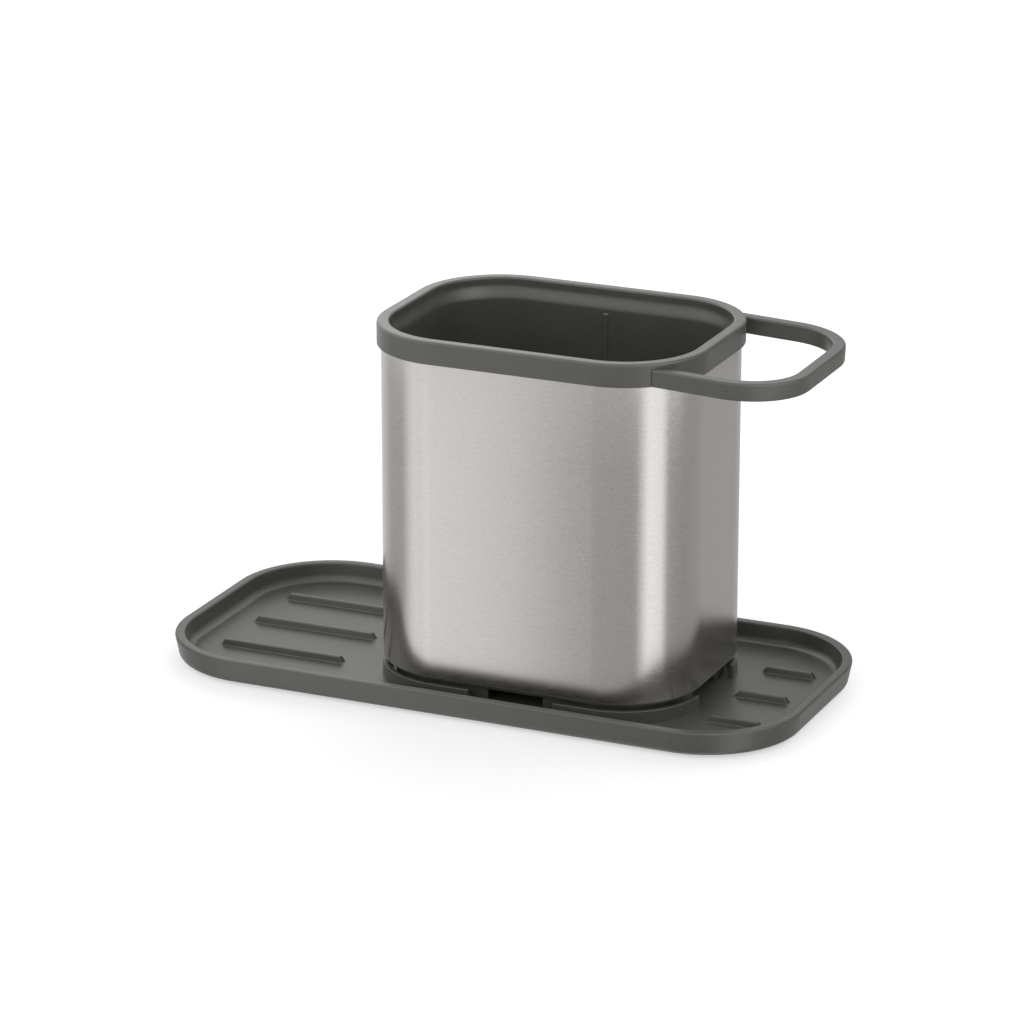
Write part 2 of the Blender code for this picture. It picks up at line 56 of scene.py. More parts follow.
# Outlines of tray and pot: length, width and corner radius, and the pot's place along the tray
TRAY = (0.290, 0.1404, 0.0438)
POT = (0.1480, 0.1108, 0.0375)
POT_X = 0.0233

# Drip tray
TRAY_HEIGHT = 0.0110
TRAY_FLOOR = 0.0026
TRAY_WALL = 0.0045
TRAY_WALL_LEAN = 0.0013
TRAY_HEEL = 0.0034
TRAY_COVE = 0.0036
TRAY_LIP = 0.0011

# Locating ring on the tray's floor
RING_HEIGHT = 0.0056
RING_WALL = 0.0022
RING_INSET = 0.0015
RING_GAP = 0.0390
RING_DRAFT = 0.0003
RING_EDGE = 0.0004
RING_END_EDGE = 0.00035

# Draining ribs, steeper here than in the solids, and flared where they rise from the floor
RIB_PITCH = 0.0320
RIB_HEIGHT = 0.0029
RIB_FOOT = 0.0036
RIB_CREST = 0.0021
RIB_HIP = 0.0017
RIB_EDGE = 0.0006
RIB_CORNER = 0.0003
RIB_FLARE = 0.0004
RIB_END_FLARE = 0.0012
RIB_SINK = 0.00005
LONG_RIB_END_MARGIN = 0.0207
LONG_RIB_RING_MARGIN = 0.0159
SHORT_RIB_END_MARGIN = 0.0160
SHORT_RIB_RING_MARGIN = 0.0093

# Soft feet, dished here where they stand on the table
FOOT_RADIUS = 0.0065
FOOT_THICKNESS = 0.0020
FOOT_PROUD = 0.0012
FOOT_EDGE = 0.0004
FOOT_END_MARGIN = 0.0330
FOOT_SIDE_MARGIN = 0.0240
FOOT_DISH = 0.00025
FOOT_DISH_LIP = 0.00005
FOOT_DISH_SHARES = (0.42, 0.46, 0.52)

# Rim band and the mouth of the bucket
POT_HEIGHT = 0.1576
BAND_HEIGHT = 0.0100
BAND_PROUD = 0.0018
BAND_WALL = 0.0028
BAND_TOP = 0.0030
BAND_EDGE = 0.0012
BAND_HEM = 0.0003
RIM_WIDTH = 0.0054
RIM_INNER = 0.0010
MOUTH_STEP = 0.0017
MOUTH_STRAIGHT = 0.0030
LINING_STEP = MOUTH_STEP / 4

# Bucket below the band, with guides whose tops slope more here than in the solids
BUCKET_WALL = 0.0020
BUCKET_DRAFT = 0.0016
BUCKET_FLOOR = 0.0025
BUCKET_FILLET = 0.0060
GUIDE_WIDTH = 0.0024
GUIDE_PROUD = 0.0005
GUIDE_RISE = 0.0012
GUIDE_SLOPE = 0.0030
GUIDE_EDGE = 0.00045

# Drain slots in the bucket's floor, as an outline like the tray's
SLOT = (0.0036, 0.0340, 0.0014)
SLOT_COUNT = 7
SLOT_PITCH = 0.0120

# Steel sleeve
SHEET = 0.0006
SLEEVE_LIFT = 0.0079
SLEEVE_TUCK = 0.0030
SLEEVE_FLANGE = 0.0065
SLEEVE_BEND = 0.0010

# Base ring
SKIRT_INSET = 0.0073
SKIRT_WALL = 0.0022
SKIRT_EDGE = 0.0006
BASE_PLATE = 0.0020
BASE_PLATE_INSET = 0.0050
BASE_CHAMFER = 0.0006
BASE_WINDOW = 0.0220
NOTCH_WIDTH = 0.0255
NOTCH_HEIGHT = 0.0048

# Spigots of the bucket, in sockets of the base ring
SPIGOT_RADIUS = 0.0025
SPIGOT_LENGTH = 0.0060
SPIGOT_INSET = 0.0162
SPIGOT_CHAMFER = 0.0004
SOCKET_WALL = 0.0016

# Cloth rail, with a fine upright groove at the root of each arm that the solids don't have
RAIL_REACH = 0.0451
RAIL_SIDE_INSET = 0.0081
RAIL_CORNER = 0.0291
RAIL_THICKNESS = 0.0057
RAIL_HEIGHT = 0.0076
RAIL_EDGE = 0.0010
RAIL_DROOP = math.radians(2.5)
GROOVE_WIDTH = 0.0010
GROOVE_DEPTH = 0.0008

# Steps of the fine shapes
CORNER_STEPS = 36
ROUND_STEPS = 64
FLOOR_FILLET_STEPS = 10
MOUTH_STEPS = 12
BEND_STEPS = 8
FILLET_STEPS = 6
EDGE_STEPS = 4
BEVEL_STEPS = 3
SMALL_CORNER_STEPS = 4
SLOT_CORNER_STEPS = 8
SURROUND_STEPS = 96

# Angles that tell flat faces from edges, the share of large faces in the shading, and how near
# to a plane an edge lies on it
FLAT_ANGLE = math.radians(0.5)
CUT_ANGLE = math.radians(40)
SHARP_ANGLE = math.radians(32)
SHEET_SHARP_ANGLE = math.radians(40)
FACE_WEIGHT = 60
ON_PLANE = 0.00001

# Levels and places that follow from the sizes
TRAY_UNDERSIDE = FOOT_PROUD
FLOOR_TOP = TRAY_UNDERSIDE + TRAY_FLOOR
TRAY_TOP = TRAY_UNDERSIDE + TRAY_HEIGHT
POT_BOTTOM = FLOOR_TOP + CLEARANCE
RIM_TOP = POT_BOTTOM + POT_HEIGHT
BAND_BOTTOM = RIM_TOP - BAND_HEIGHT
SLEEVE_BOTTOM = POT_BOTTOM + SLEEVE_LIFT
SLEEVE_TOP = BAND_BOTTOM + SLEEVE_TUCK
PLATE_TOP = SLEEVE_BOTTOM - CLEARANCE
PLATE_BOTTOM = PLATE_TOP - BASE_PLATE
BUCKET_UNDERSIDE = PLATE_TOP + CLEARANCE
BUCKET_FLOOR_TOP = BUCKET_UNDERSIDE + BUCKET_FLOOR

FOOT_X = TRAY[0] / 2 - FOOT_END_MARGIN
FOOT_Y = TRAY[1] / 2 - FOOT_SIDE_MARGIN
RING_REACH = POT[0] / 2 - RING_INSET
RIB_SPANS = (
    (LONG_RIB_END_MARGIN - TRAY[0] / 2, POT_X - RING_REACH - LONG_RIB_RING_MARGIN),
    (POT_X + RING_REACH + SHORT_RIB_RING_MARGIN, TRAY[0] / 2 - SHORT_RIB_END_MARGIN),
)

SKIRT_OF_BAND = BAND_PROUD - CLEARANCE
MOUTH_INSET = RIM_WIDTH + MOUTH_STEP
RAIL_HINGE_X = POT[0] / 2 - POT[2] / 3

# The range of a noise that is added to another
ABOUT_ZERO = (-0.5, 0.5)

# Satin plastic: colour, how far its tone and gloss wander, the scales of its clouds and its grain,
# the grain's relief, and the weight of each in its tone and gloss
PLASTIC_COLOUR = (0.097, 0.097, 0.085)
PLASTIC_TONE_SPREAD = 0.045
PLASTIC_ROUGHNESS = 0.32
PLASTIC_GLOSS_SPREAD = 0.03
PLASTIC_SPECULAR = 0.7
PLASTIC_CLOUD_SCALE = 38.0
PLASTIC_GRAIN_SCALE = 1900.0
PLASTIC_GRAIN_RELIEF = 0.000010
PLASTIC_CLOUD_IN_TONE = (0.2, 0.8)
PLASTIC_GRAIN_IN_TONE = 0.35
PLASTIC_GRAIN_IN_GLOSS = 0.08

# Brushed steel: its darkest and lightest tone, its gloss, the scales of its scratches along the
# girth and across it, and the weight of streaks in the scratches and of wear in tone and gloss
STEEL_DARK = (0.566, 0.543, 0.524)
STEEL_LIGHT = (0.634, 0.608, 0.588)
STEEL_ROUGHNESS = (0.184, 0.228)
STEEL_ANISOTROPY = 0.58
STEEL_QUARTER_TURN = 0.25
STEEL_FINE_SCALE = (640.0, 1050.0, 1.0)
STEEL_STREAK_SCALE = (180.0, 800.0, 1.0)
STEEL_CLOUD_SCALE = (30.0, 60.0, 1.0)
STEEL_SCRATCH_RANGE = (0.55, 1.05)
STEEL_SCRATCH_RELIEF = 0.000004
STEEL_SCRATCH_IN_TONE = (0.1, 0.9)
STEEL_STREAK_WEIGHT = 0.6
STEEL_WEAR_IN_TONE = 0.1
STEEL_WEAR_IN_GLOSS = 0.01

# Soft rubber
RUBBER_DARK = (0.031, 0.031, 0.030)
RUBBER_LIGHT = (0.041, 0.041, 0.040)
RUBBER_ROUGHNESS = (0.70, 0.84)
RUBBER_GRAIN_SCALE = 1500.0
RUBBER_GRAIN_RELIEF = 0.00004

# Camera fitted to the photograph, its azimuth from the front and its elevation in degrees
CAMERA_AZIMUTH = 23.967
CAMERA_ELEVATION = 18.684
CAMERA_DISTANCE = 1.99894
CAMERA_LOOK_AT = (0.00044, -0.00002, 0.0720)
CAMERA_LENS = 163.362
CAMERA_SENSOR = 36.0
CAMERA_CLIP = (0.01, 30.0)

# Floor: its half size, its tone, and the glow that turns it white where it shows
FLOOR_REACH = 6.0
FLOOR_COLOUR = (0.92, 0.92, 0.92)
FLOOR_GLOW = 0.540

# Parts of the sky that light matt surfaces, each with its azimuth from the front and its elevation
# in degrees, the cosine at its edge, and its level
SKY = ((0, 10, 0.2, 0.42), (60, 10, 0.2, 0.60), (-60, 10, 0.2, 0.74), (180, 10, 0.2, 1.40))

# What gloss and metal see all round the pot: azimuth in degrees from the front, and level. The
# first ring of fields is low down, where the steel looks, and the second above it.
SURROUND = (
    (-180, 0.52), (-165, 0.62), (-144, 0.80), (-124, 0.76), (-104, 0.66), (-90, 0.51), (-66, 0.50),
    (-54, 0.94), (-48, 1.04), (-40, 0.98), (-32, 1.11), (-20, 0.88), (-13, 0.48), (42, 0.44),
    (55, 1.32), (71, 1.22), (79, 0.46), (100, 0.40), (143, 0.46), (180, 0.52),
)
SURROUND_ABOVE = (
    (-180, 0.56), (-165, 0.68), (-144, 1.02), (-124, 1.00), (-104, 0.88), (-90, 0.78), (-66, 0.95),
    (-48, 0.95), (-20, 0.78), (30, 0.72), (54, 1.20), (73, 1.30), (90, 1.25), (104, 0.55),
    (143, 0.24), (165, 0.50), (180, 0.56),
)

# The surround's size, the strength of a field of full level, the heights between which the lower
# fields turn into the upper ones, and those between which the strength grows by the gain
SURROUND_RADIUS = 0.3
SURROUND_REACH = 0.8
SURROUND_PEAK = 1.5
SURROUND_TURN = (0.072, 0.098)
SURROUND_RISE = (0.12, 0.35)
SURROUND_GAIN = 1.85

# The surround shows to light that has met fewer matt surfaces than this
MATT_LIMIT = 0.5


# Mesh tools


def arc(inset, height, radius, start, end, steps=FILLET_STEPS):
    """Profile points on an arc, angles in quarter turns from the inward direction."""
    points = []
    for step in range(steps + 1):
        angle = (start + (end - start) * step / steps) * math.pi / 2
        points.append((inset + radius * math.cos(angle), height + radius * math.sin(angle)))
    return points


def outline_points(outline, inset, steps=CORNER_STEPS):
    """Points of a rounded rectangle moved inwards by inset, counter-clockwise."""
    length, width, radius = outline
    corner = max(radius - inset, CLEARANCE)
    reach_x = length / 2 - inset - corner
    reach_y = width / 2 - inset - corner
    points = []
    for quarter, (side_x, side_y) in enumerate(((1, 1), (-1, 1), (-1, -1), (1, -1))):
        for step in range(steps + 1):
            angle = (quarter + step / steps) * math.pi / 2
            x = side_x * reach_x + corner * math.cos(angle)
            points.append((x, side_y * reach_y + corner * math.sin(angle)))
    return points


def circle(radius, x, y, steps=ROUND_STEPS):
    """Points of a circle round (x, y), counter-clockwise."""
    turns = [2 * math.pi * step / steps for step in range(steps)]
    return [(x + radius * math.cos(turn), y + radius * math.sin(turn)) for turn in turns]


def running_length(points):
    """Length along the points from the first to each, as a list."""
    total = [0.0]
    for start, end in zip(points, points[1:]):
        total.append(total[-1] + math.dist(start, end))
    return total


def sweep(outline, profile, centre_x=0.0, capped=False, steps=CORNER_STEPS):
    """A profile of (inset, height) points carried round an outline, with girth and height as UV."""
    mesh = bmesh.new()
    layer = mesh.loops.layers.uv.new("girth")
    rows = []
    for inset, height in profile:
        places = outline_points(outline, inset, steps)
        rows.append([mesh.verts.new((x + centre_x, y, height)) for x, y in places])
    reference = outline_points(outline, 0.0, steps)
    girth = running_length(reference + reference[:1])
    rise = running_length(profile + profile[:1])
    count = len(reference)
    pairs = list(zip(range(len(rows)), range(1, len(rows))))
    if not capped:
        pairs.append((len(rows) - 1, 0))
    for low, high in pairs:
        bottom, top = rise[low], rise[low + 1]
        for i in range(count):
            j = (i + 1) % count
            left, right = girth[i], girth[i + 1]
            face = mesh.faces.new((rows[low][i], rows[low][j], rows[high][j], rows[high][i]))
            places = ((left, bottom), (right, bottom), (right, top), (left, top))
            for loop, place in zip(face.loops, places):
                loop[layer].uv = place
    if capped:
        mesh.faces.new(rows[0])
        mesh.faces.new(rows[-1])
    return mesh


def prism(outline, inset, bottom, top, centre_x=0.0, steps=CORNER_STEPS):
    """A solid block with the outline moved inwards by inset."""
    return sweep(outline, [(inset, bottom), (inset, top)], centre_x, capped=True, steps=steps)


def bridge(mesh, rows):
    """Faces between each closed row of points and the next."""
    for low, high in zip(rows, rows[1:]):
        count = len(low)
        for i in range(count):
            mesh.faces.new((low[i], low[(i + 1) % count], high[(i + 1) % count], high[i]))


def loft(mesh, rows):
    """A solid through closed rows of points."""
    bridge(mesh, rows)
    mesh.faces.new(rows[0])
    mesh.faces.new(rows[-1])


def add_box(mesh, low, high):
    made = bmesh.ops.create_cube(mesh, size=1.0)["verts"]
    middle = [(a + b) / 2 for a, b in zip(low, high)]
    size = [b - a for a, b in zip(low, high)]
    bmesh.ops.transform(mesh, matrix=Matrix.LocRotScale(middle, None, size), verts=made)
    return made


def add_turned(mesh, profile, x, y):
    """A closed round solid from (radius, height) points, first and last on the axis."""
    rings = []
    for radius, height in profile[1:-1]:
        rings.append([mesh.verts.new((a, b, height)) for a, b in circle(radius, x, y)])
    bridge(mesh, rings)
    for ring, (_, height) in ((rings[0], profile[0]), (rings[-1], profile[-1])):
        tip = mesh.verts.new((x, y, height))
        for i in range(ROUND_STEPS):
            mesh.faces.new((ring[i], ring[(i + 1) % ROUND_STEPS], tip))


def add_cylinder(mesh, radius, x, y, bottom, top):
    add_turned(mesh, [(0, bottom), (radius, bottom), (radius, top), (0, top)], x, y)


def round_edges(mesh, edges, offset, clamp=False):
    bmesh.ops.bevel(
        mesh, geom=edges, offset=offset, segments=BEVEL_STEPS, profile=0.5, affect="EDGES",
        clamp_overlap=clamp,
    )


def as_object(name, mesh):
    data = bpy.data.meshes.new(name)
    bmesh.ops.recalc_face_normals(mesh, faces=mesh.faces)
    mesh.to_mesh(data)
    mesh.free()
    made = bpy.data.objects.new(name, data)
    bpy.context.scene.collection.objects.link(made)
    return made


def combine(target, helpers, operation):
    """Joins or cuts the target with each helper, which is then gone."""
    for helper in helpers:
        modifier = target.modifiers.new(helper.name, "BOOLEAN")
        modifier.operation = operation
        modifier.object = helper
        modifier.solver = "EXACT"
    settle(target)
    for helper in helpers:
        bpy.data.objects.remove(helper, do_unlink=True)


def settle(target):
    """Applies the target's modifiers, and joins points that lie within WELD of each other."""
    bpy.context.view_layer.update()
    graph = bpy.context.evaluated_depsgraph_get()
    final = target.evaluated_get(graph)
    shaped = bpy.data.meshes.new_from_object(final, preserve_all_data_layers=True, depsgraph=graph)
    mesh = bmesh.new()
    mesh.from_mesh(shaped)
    bmesh.ops.remove_doubles(mesh, verts=mesh.verts, dist=WELD)
    mesh.to_mesh(shaped)
    mesh.free()
    target.modifiers.clear()
    target.data = shaped


def smooth(target, angle=SHARP_ANGLE):
    """Smooth shading between sharp edges, led by the large faces."""
    target.data.shade_smooth()
    target.data.set_sharp_from_angle(angle=angle)
    weighted = target.modifiers.new("weighted_normals", "WEIGHTED_NORMAL")
    weighted.mode = "FACE_AREA"
    weighted.weight = FACE_WEIGHT
    weighted.keep_sharp = True


# Drip tray and feet


def tray_profile():
    inner = TRAY_WALL + TRAY_WALL_LEAN / 2
    points = arc(TRAY_WALL_LEAN + TRAY_HEEL, TRAY_UNDERSIDE + TRAY_HEEL, TRAY_HEEL, -1, -2)
    points += arc(TRAY_LIP, TRAY_TOP - TRAY_LIP, TRAY_LIP, 2, 1)
    points += arc(TRAY_WALL - TRAY_LIP, TRAY_TOP - TRAY_LIP, TRAY_LIP, 1, 0)
    points += arc(inner + TRAY_COVE, FLOOR_TOP + TRAY_COVE, TRAY_COVE, -2, -1)
    return points


def rib_profile():
    """Insets from a rib's sides and from its ends, each with its height over the tray's floor."""
    side = (RIB_FOOT - RIB_CREST) / 2
    lean = math.atan2(RIB_HEIGHT, side)
    flare = RIB_FLARE / math.tan(lean / 2)
    crest = RIB_EDGE / math.tan(lean / 2)
    points = [(-2 * RIB_FLARE, -2 * RIB_END_FLARE, rise) for rise in (-TRAY_FLOOR / 2, -RIB_SINK)]
    for step in range(1, FILLET_STEPS + 1):
        share = step / FILLET_STEPS
        rise = flare - flare * math.cos(lean * share)
        end = RIB_HIP * rise / RIB_HEIGHT - RIB_END_FLARE * (1 - share) ** 2
        points.append((flare * math.sin(lean * share) - RIB_FLARE, end, rise))
    for step in range(FILLET_STEPS + 1):
        share = step / FILLET_STEPS
        angle = lean * (1 - share)
        rise = RIB_HEIGHT - crest + crest * math.cos(angle)
        end = RIB_HIP * rise / RIB_HEIGHT + RIB_FLARE * share ** 3
        points.append((side + RIB_EDGE - crest * math.sin(angle), end, rise))
    return points


def rib(start, end, y):
    """A steep ridge with hipped ends, its crest rounded, flared at its foot and more at its ends."""
    middle = (start + end) / 2
    mesh = bmesh.new()
    rows = []
    for side_inset, end_inset, rise in rib_profile():
        level = (end - start - 2 * end_inset, RIB_FOOT - 2 * side_inset, RIB_CORNER)
        places = outline_points(level, 0.0, SMALL_CORNER_STEPS)
        rows.append([mesh.verts.new((middle + a, y + b, FLOOR_TOP + rise)) for a, b in places])
    loft(mesh, rows)
    return mesh


def ring_profile():
    outer = RING_INSET
    inner = RING_INSET + RING_WALL
    top = FLOOR_TOP + RING_HEIGHT
    root = FLOOR_TOP - TRAY_FLOOR / 2
    points = [(outer - RING_DRAFT, root)]
    points += arc(outer + RING_EDGE, top - RING_EDGE, RING_EDGE, 2, 1, EDGE_STEPS)
    points += arc(inner - RING_EDGE, top - RING_EDGE, RING_EDGE, 1, 0, EDGE_STEPS)
    points.append((inner + RING_DRAFT, root))
    return points


def cross(name, width, bottom, top):
    """Two bars across the pot that open a ring in the middle of each side."""
    half = width / 2
    bars = []
    for reach_x, reach_y in ((POT[0] / 2 + OVERRUN, half), (half, POT[1] / 2 + OVERRUN)):
        mesh = bmesh.new()
        add_box(mesh, (POT_X - reach_x, -reach_y, bottom), (POT_X + reach_x, reach_y, top))
        bars.append(as_object(f"{name}_{len(bars)}", mesh))
    return bars


def soften_upright_edges(target, planes, offset):
    """Rounds the edges of cut ends that lie on one of the planes, each an axis and a place."""
    mesh = bmesh.new()
    mesh.from_mesh(target.data)
    bmesh.ops.dissolve_limit(mesh, angle_limit=FLAT_ANGLE, verts=mesh.verts, edges=mesh.edges)
    chosen = []
    for edge in mesh.edges:
        if len(edge.link_faces) != 2 or edge.calc_face_angle(0.0) < CUT_ANGLE:
            continue
        ends = [corner.co for corner in edge.verts]
        if max(end.z for end in ends) <= FLOOR_TOP:
            continue
        if any(all(abs(end[axis] - place) < ON_PLANE for end in ends) for axis, place in planes):
            chosen.append(edge)
    round_edges(mesh, chosen, offset, True)
    mesh.to_mesh(target.data)
    mesh.free()


def make_ring():
    ring = as_object("ring", sweep(POT, ring_profile(), POT_X))
    gaps = cross("ring_gap", RING_GAP, TRAY_UNDERSIDE, FLOOR_TOP + RING_HEIGHT + OVERRUN)
    combine(ring, gaps, "DIFFERENCE")
    half = RING_GAP / 2
    soften_upright_edges(ring, ((0, POT_X - half), (0, POT_X + half), (1, -half), (1, half)), RING_END_EDGE)
    return ring


def make_tray():
    tray = as_object("tray_moulding", sweep(TRAY, tray_profile(), capped=True))
    ribs = []
    for start, end in RIB_SPANS:
        for row in (-1, 0, 1):
            ribs.append(as_object(f"rib_{len(ribs)}", rib(start, end, row * RIB_PITCH)))
    combine(tray, ribs + [make_ring()], "UNION")
    pockets = bmesh.new()
    pocket_top = TRAY_UNDERSIDE + FOOT_THICKNESS - FOOT_PROUD + CLEARANCE
    for x in (-FOOT_X, FOOT_X):
        for y in (-FOOT_Y, FOOT_Y):
            add_cylinder(pockets, FOOT_RADIUS + CLEARANCE, x, y, TRAY_UNDERSIDE - OVERRUN, pocket_top)
    combine(tray, [as_object("pockets", pockets)], "DIFFERENCE")
    smooth(tray)
    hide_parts("drip_tray")
    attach(tray, "tray")
    return tray


def foot_profile():
    dish, lip, floor = (FOOT_RADIUS * share for share in FOOT_DISH_SHARES)
    points = [(0, FOOT_DISH), (dish, FOOT_DISH), (lip, FOOT_DISH_LIP), (floor, 0.0)]
    points += arc(FOOT_RADIUS - FOOT_EDGE, FOOT_EDGE, FOOT_EDGE, -1, 0, EDGE_STEPS)
    points.append((FOOT_RADIUS, FOOT_THICKNESS - FOOT_EDGE))
    points += [(FOOT_RADIUS - FOOT_EDGE, FOOT_THICKNESS), (0, FOOT_THICKNESS)]
    return points


def make_feet():
    feet = []
    places = (("front_left", -1, -1), ("front_right", 1, -1), ("rear_left", -1, 1), ("rear_right", 1, 1))
    for name, x, y in places:
        mesh = bmesh.new()
        add_turned(mesh, foot_profile(), x * FOOT_X, y * FOOT_Y)
        foot = as_object(f"pad_{name}", mesh)
        smooth(foot)
        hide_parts(f"foot_{name}")
        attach(foot, "tray")
        feet.append(foot)
    return feet


# Bucket with its cloth rail


def bucket_inset(height):
    """How far the lining's inner face lies inside the pot's outline, by its draft."""
    share = (BAND_BOTTOM - height) / (BAND_BOTTOM - BUCKET_FLOOR_TOP)
    return MOUTH_INSET + BUCKET_DRAFT * share


def bucket_profile():
    """The section of lining, channel, band and mouth, from the underside round to the floor."""
    fillet = BUCKET_FILLET
    heel = bucket_inset(BUCKET_UNDERSIDE + fillet) - BUCKET_WALL
    points = arc(heel + fillet, BUCKET_UNDERSIDE + fillet, fillet, -1, -2)
    points.append((MOUTH_INSET - BUCKET_WALL, BAND_BOTTOM))
    points.append((RIM_WIDTH - BUCKET_WALL + LINING_STEP, RIM_TOP - BAND_TOP))
    points.append((BAND_WALL, RIM_TOP - BAND_TOP))
    points += [(BAND_WALL, SLEEVE_TOP), (SKIRT_OF_BAND, SLEEVE_TOP)]
    points += [(SKIRT_OF_BAND, BAND_BOTTOM), (BAND_HEM, BAND_BOTTOM)]
    points += arc(BAND_HEM, BAND_BOTTOM + BAND_HEM, BAND_HEM, -1, -2, BEVEL_STEPS)[1:]
    points += arc(BAND_EDGE, RIM_TOP - BAND_EDGE, BAND_EDGE, 2, 1)
    points += arc(RIM_WIDTH - RIM_INNER, RIM_TOP - RIM_INNER, RIM_INNER, 1, 0)
    start = RIM_TOP - MOUTH_STRAIGHT
    fall = BAND_HEIGHT - MOUTH_STRAIGHT
    for step in range(MOUTH_STEPS + 1):
        share = step / MOUTH_STEPS
        ease = share * share * (3 - 2 * share)
        points.append((RIM_WIDTH + MOUTH_STEP * ease, start - fall * share))
    centre = BUCKET_FLOOR_TOP + fillet
    points += arc(bucket_inset(centre) + fillet, centre, fillet, -2, -1, FLOOR_FILLET_STEPS)
    return points


def guides():
    """Upright guides inside the front and rear walls, sloped at the top, with rounded edges."""
    wall_reach = POT[1] / 2
    half = GUIDE_WIDTH / 2
    bottom = BUCKET_FLOOR_TOP - BUCKET_FLOOR / 2
    top = BAND_BOTTOM + GUIDE_RISE
    mesh = bmesh.new()
    for side in (-1, 1):
        corners = add_box(mesh, (POT_X - half, 0, bottom), (POT_X + half, side * POT[1], top))
        inner = [corner for corner in corners if abs(corner.co.y) < wall_reach]
        for corner in corners:
            wall = wall_reach - bucket_inset(corner.co.z)
            corner.co.y = side * (wall - GUIDE_PROUD if corner in inner else wall + BUCKET_WALL / 2)
        # The whole inner face is lowered, so that its foot comes out under the bucket's floor, unseen
        for corner in inner:
            corner.co.z -= GUIDE_SLOPE
        upright = []
        for edge in mesh.edges:
            if all(corner in inner for corner in edge.verts) and edge.calc_length() > 2 * GUIDE_WIDTH:
                upright.append(edge)
        round_edges(mesh, upright, GUIDE_EDGE)
    return as_object("guides", mesh)


def spigot_places():
    """Centres of the spigots, on the diagonals of the pot's corners."""
    length, width, corner = POT
    reach = (corner - SPIGOT_INSET) * math.cos(math.pi / 4)
    x = length / 2 - corner + reach
    y = width / 2 - corner + reach
    return [(POT_X + i * x, j * y) for i in (-1, 1) for j in (-1, 1)]


def spigots():
    low = BUCKET_UNDERSIDE - SPIGOT_LENGTH
    high = BUCKET_UNDERSIDE + BUCKET_FLOOR / 2
    profile = [(0, low), (SPIGOT_RADIUS - SPIGOT_CHAMFER, low), (SPIGOT_RADIUS, low + SPIGOT_CHAMFER)]
    profile += [(SPIGOT_RADIUS, high), (0, high)]
    mesh = bmesh.new()
    for x, y in spigot_places():
        add_turned(mesh, profile, x, y)
    return as_object("spigots", mesh)


def rail_path():
    """Centre line of the rail's bar, a U open towards the pot, from front to rear."""
    length, width, corner = POT
    half = RAIL_THICKNESS / 2
    side = width / 2 - RAIL_SIDE_INSET - half
    end = length / 2 + RAIL_REACH - half
    radius = RAIL_CORNER - half
    root = length / 2 - corner
    points = [(root, -side)]
    for quarter, turn in ((-1, -1), (0, 1)):
        for step in range(CORNER_STEPS + 1):
            angle = (quarter + step / CORNER_STEPS) * math.pi / 2
            x = end - radius + radius * math.cos(angle)
            points.append((x, turn * (side - radius) + radius * math.sin(angle)))
    points.append((root, side))
    return points


def rail_bar():
    """The bar's rounded section carried along its path, sloping down from the band."""
    section = outline_points((RAIL_THICKNESS, RAIL_HEIGHT, RAIL_EDGE), 0.0, FILLET_STEPS)
    path = rail_path()
    mesh = bmesh.new()
    rows = []
    for index, (x, y) in enumerate(path):
        before = path[max(index - 1, 0)]
        after = path[min(index + 1, len(path) - 1)]
        run = Vector((after[0] - before[0], after[1] - before[1])).normalized()
        out = Vector((run.y, -run.x))
        rows.append([mesh.verts.new((x + out.x * a, y + out.y * a, b)) for a, b in section])
    loft(mesh, rows)
    hinge = Matrix.Translation((POT_X + RAIL_HINGE_X, 0, BAND_BOTTOM + RAIL_HEIGHT / 2))
    droop = Matrix.Rotation(RAIL_DROOP, 4, "Y")
    placed = hinge @ droop @ Matrix.Translation((-RAIL_HINGE_X, 0, 0))
    bmesh.ops.transform(mesh, matrix=placed, verts=mesh.verts)
    return as_object("rail", mesh)


def make_rail():
    """The rail's bar, ended inside the band's wall, with its grooves where the arms start."""
    length, width, corner = POT
    rail = rail_bar()
    outer = width / 2 - RAIL_SIDE_INSET
    start = POT_X + length / 2 - corner + math.sqrt(corner ** 2 - (corner - RAIL_SIDE_INSET) ** 2)
    low, high = BAND_BOTTOM - BAND_HEIGHT, RIM_TOP
    grooves = bmesh.new()
    for side in (-1, 1):
        near, far = sorted((side * (outer - GROOVE_DEPTH), side * (outer + OVERRUN)))
        add_box(grooves, (start - OVERRUN, near, low), (start + GROOVE_WIDTH, far, high))
    pot = as_object("rail_cut", prism(POT, SKIRT_OF_BAND / 2, low, high, POT_X))
    combine(rail, [as_object("rail_grooves", grooves), pot], "DIFFERENCE")
    return rail


def make_bucket():
    bucket = as_object("bucket_moulding", sweep(POT, bucket_profile(), POT_X, capped=True))
    combine(bucket, [guides(), spigots(), make_rail()], "UNION")
    low, high = BUCKET_UNDERSIDE - OVERRUN, BUCKET_FLOOR_TOP + OVERRUN
    slots = []
    for index in range(SLOT_COUNT):
        x = POT_X + (index - (SLOT_COUNT - 1) / 2) * SLOT_PITCH
        slots.append(as_object(f"slot_{index}", prism(SLOT, 0, low, high, x, SLOT_CORNER_STEPS)))
    combine(bucket, slots, "DIFFERENCE")
    smooth(bucket)
    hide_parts("bucket_with_rail")
    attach(bucket, "pot")
    return bucket


# Steel sleeve and base ring


